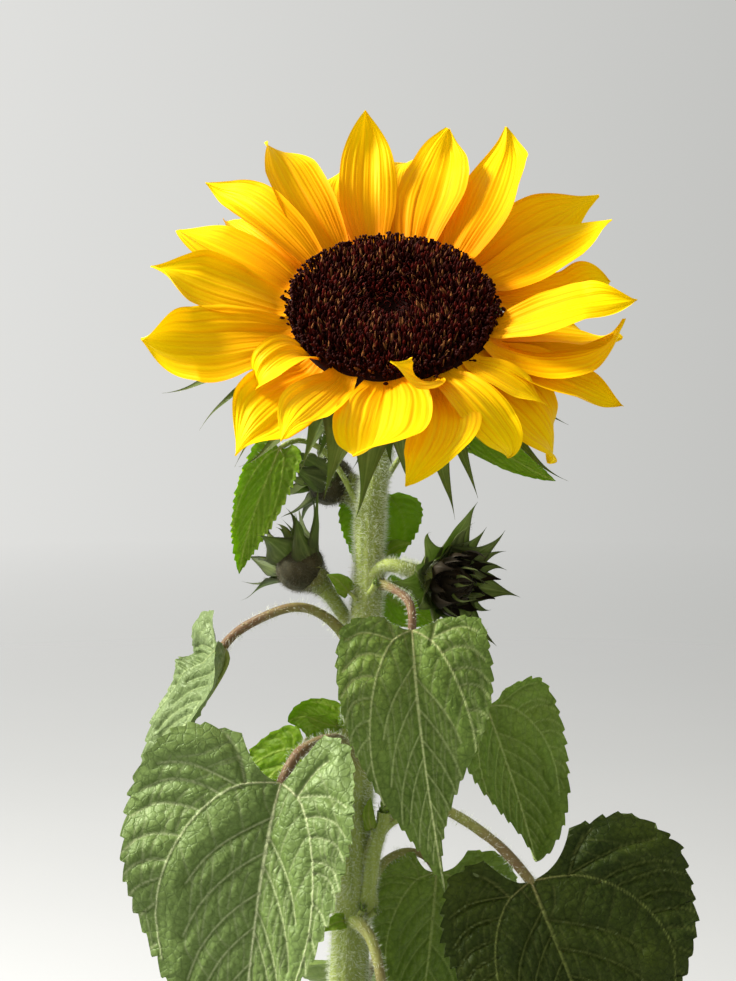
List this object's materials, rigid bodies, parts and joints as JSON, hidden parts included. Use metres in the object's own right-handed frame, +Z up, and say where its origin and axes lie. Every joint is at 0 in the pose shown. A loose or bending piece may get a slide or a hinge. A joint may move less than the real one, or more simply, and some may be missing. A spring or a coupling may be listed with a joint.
{
  "type": "sunflower plant",
  "caption": "Whole flowering sunflower plant: an upright stem with stalked heart-shaped leaves, closed side buds and an open yellow-rayed head with a dark brown disc.",
  "frame": {"origin": "centre of the flat cut foot of the main stem, at ground level", "axes": "+Z up along the stem; the flower head faces -Y and tilts upward; +X is to the right of a viewer who looks at the flower"},
  "size_m": [0.2481, 0.2526, 0.6245],
  "materials": {
    "stem_green": "matt, hairy",
    "leaf_green": "matt",
    "petal_yellow": "satin",
    "disc_brown": "matt",
    "bract_green": "matt, hairy"
  },
  "bodies": {
    "root": {"stem": "stem_green", "petiole_front_left": "stem_green", "petiole_centre": "stem_green", "petiole_mid_right": "stem_green", "petiole_lower_right": "stem_green", "petiole_lower_centre": "stem_green", "petiole_left": "stem_green", "petiole_behind_left": "stem_green", "leaf_front_left": "leaf_green", "leaf_centre": "leaf_green", "leaf_mid_right": "leaf_green", "leaf_lower_right": "leaf_green", "leaf_lower_centre": "leaf_green", "leaf_left": "leaf_green", "leaf_behind_left": "leaf_green", "leaf_upper_left": "leaf_green", "leaf_upper_back": "leaf_green", "leaf_upper_right": "leaf_green", "leaf_bud_leaf": "leaf_green", "leaf_axil_left": "leaf_green", "leaf_under": "leaf_green", "leaf_lower_1": "leaf_green", "leaf_lower_2": "leaf_green", "leaf_lower_3": "leaf_green", "leaf_lower_4": "leaf_green", "leaf_lower_5": "leaf_green", "bud_right": "bract_green", "bud_left": "bract_green", "bud_back": "bract_green", "disc": "disc_brown", "petal_01": "petal_yellow", "petal_02": "petal_yellow", "petal_03": "petal_yellow", "petal_04": "petal_yellow", "petal_05": "petal_yellow", "petal_06": "petal_yellow", "petal_07": "petal_yellow", "petal_08": "petal_yellow", "petal_09": "petal_yellow", "petal_10": "petal_yellow", "petal_11": "petal_yellow", "petal_12": "petal_yellow", "petal_13": "petal_yellow", "petal_14": "petal_yellow", "petal_15": "petal_yellow", "petal_16": "petal_yellow", "petal_17": "petal_yellow", "petal_18": "petal_yellow", "petal_19": "petal_yellow", "petal_20": "petal_yellow", "petal_21": "petal_yellow", "petal_22": "petal_yellow", "petal_23": "petal_yellow", "petal_24": "petal_yellow", "petal_25": "petal_yellow", "petal_26": "petal_yellow", "petal_27": "petal_yellow", "petal_28": "petal_yellow", "receptacle": "bract_green"}
  },
  "joints": []
}
